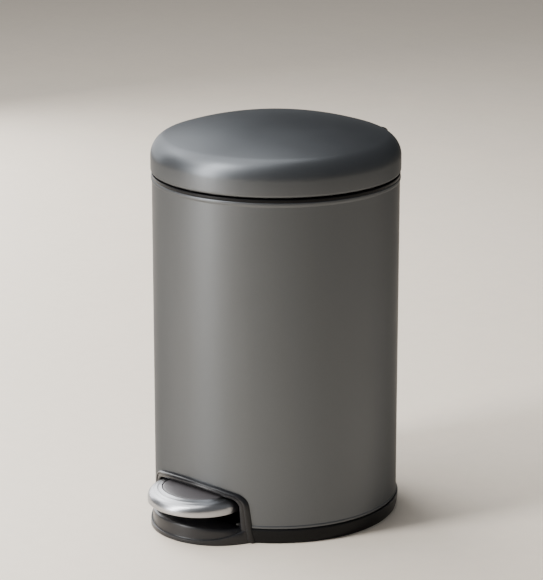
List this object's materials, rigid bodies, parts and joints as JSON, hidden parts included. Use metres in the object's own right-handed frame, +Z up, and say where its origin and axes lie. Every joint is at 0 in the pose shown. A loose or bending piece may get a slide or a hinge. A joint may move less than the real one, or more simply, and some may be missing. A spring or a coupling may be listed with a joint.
{
  "type": "pedal trash can",
  "caption": "Round steel pedal trash can with a domed hinged lid, foot pedal linkage, soft-close damper and lift-out inner bucket.",
  "frame": {"origin": "on the can's vertical axis, in the plane of the floor that it stands on", "axes": "+Z up along the axis of the can, -Y towards the pedal, +X to the right of a person facing the pedal"},
  "size_m": [0.254, 0.3085, 0.4088],
  "materials": {
    "coated_steel": "satin slate-grey powder coat",
    "black_plastic": "fine moulded texture",
    "housing_plastic": "smooth satin charcoal",
    "pedal_silver": "satin silver",
    "pad_plastic": "smooth satin",
    "liner_plastic": "moulded",
    "bucket_plastic": "moulded polypropylene",
    "zinc_steel": "zinc plated",
    "bright_wire": "drawn and plated",
    "rubber": "matt",
    "nylon": "natural nylon"
  },
  "bodies": {
    "can": {"outer_shell": "coated_steel", "base_pan": "black_plastic", "base_pads": "rubber", "base_screws": "zinc_steel", "pedal_housing": "housing_plastic", "housing_screws": "zinc_steel", "top_collar": "black_plastic", "hinge_bracket": "black_plastic", "hinge_pin": "zinc_steel", "hinge_pin_clips": "zinc_steel", "hinge_screws": "zinc_steel", "hinge_nut_plate": "zinc_steel", "pivot_bracket_left": "zinc_steel", "pivot_bracket_right": "zinc_steel", "bracket_screws": "zinc_steel", "pedal_pivot_pin": "zinc_steel", "pivot_clips": "zinc_steel", "lever_rest_pad": "rubber", "rod_guide_lower": "nylon", "rod_guide_upper": "nylon", "damper_cylinder": "black_plastic", "damper_cap": "nylon", "damper_bracket": "nylon"},
    "lid": {"lid_shell": "coated_steel", "lid_liner": "liner_plastic", "lid_bumpers": "rubber", "lid_hinge_arm": "zinc_steel", "lid_hinge_cover": "black_plastic", "lid_screws": "zinc_steel", "hinge_bushes": "nylon", "arm_pin": "zinc_steel"},
    "pedal": {"pedal_lever": "zinc_steel", "pedal_cover": "pedal_silver", "pedal_pad": "pad_plastic", "pedal_bushes": "nylon", "pedal_screws": "zinc_steel", "lever_pin": "zinc_steel"},
    "rod": {"lift_rod": "bright_wire", "rod_clamp": "nylon", "rod_clamp_screw": "zinc_steel", "damper_piston": "zinc_steel"},
    "bucket": {"inner_bucket": "bucket_plastic"},
    "bail": {"bucket_handle": "bright_wire", "handle_grip": "black_plastic"}
  },
  "joints": [
    {"name": "lid_hinge", "type": "hinge", "parent": "can", "child": "lid", "pos_m": [0, 0.132, 0.364], "axis": [-1, 0, 0], "range_deg": [0, 80]},
    {"name": "pedal_pivot", "type": "hinge", "parent": "can", "child": "pedal", "pos_m": [0, -0.072, 0.024], "axis": [1, 0, 0], "range_deg": [0, 7.93]},
    {"name": "rod_slide", "type": "slide", "parent": "can", "child": "rod", "axis": [0, 0, 1], "range_m": [0, 0.02572]},
    {"name": "bucket_lift", "type": "slide", "parent": "can", "child": "bucket", "axis": [0, 0, 1], "range_m": [0, 0.01]},
    {"name": "bail_swing", "type": "hinge", "parent": "bucket", "child": "bail", "pos_m": [0, 0, 0.3552], "axis": [-1, 0, 0], "range_deg": [0, 10]}
  ],
  "couplings": [
    {"joint": "pedal_pivot", "follows": "lid_hinge", "ratio": 0.099053},
    {"joint": "rod_slide", "follows": "lid_hinge", "m_per_rad": 0.018415}
  ]
}
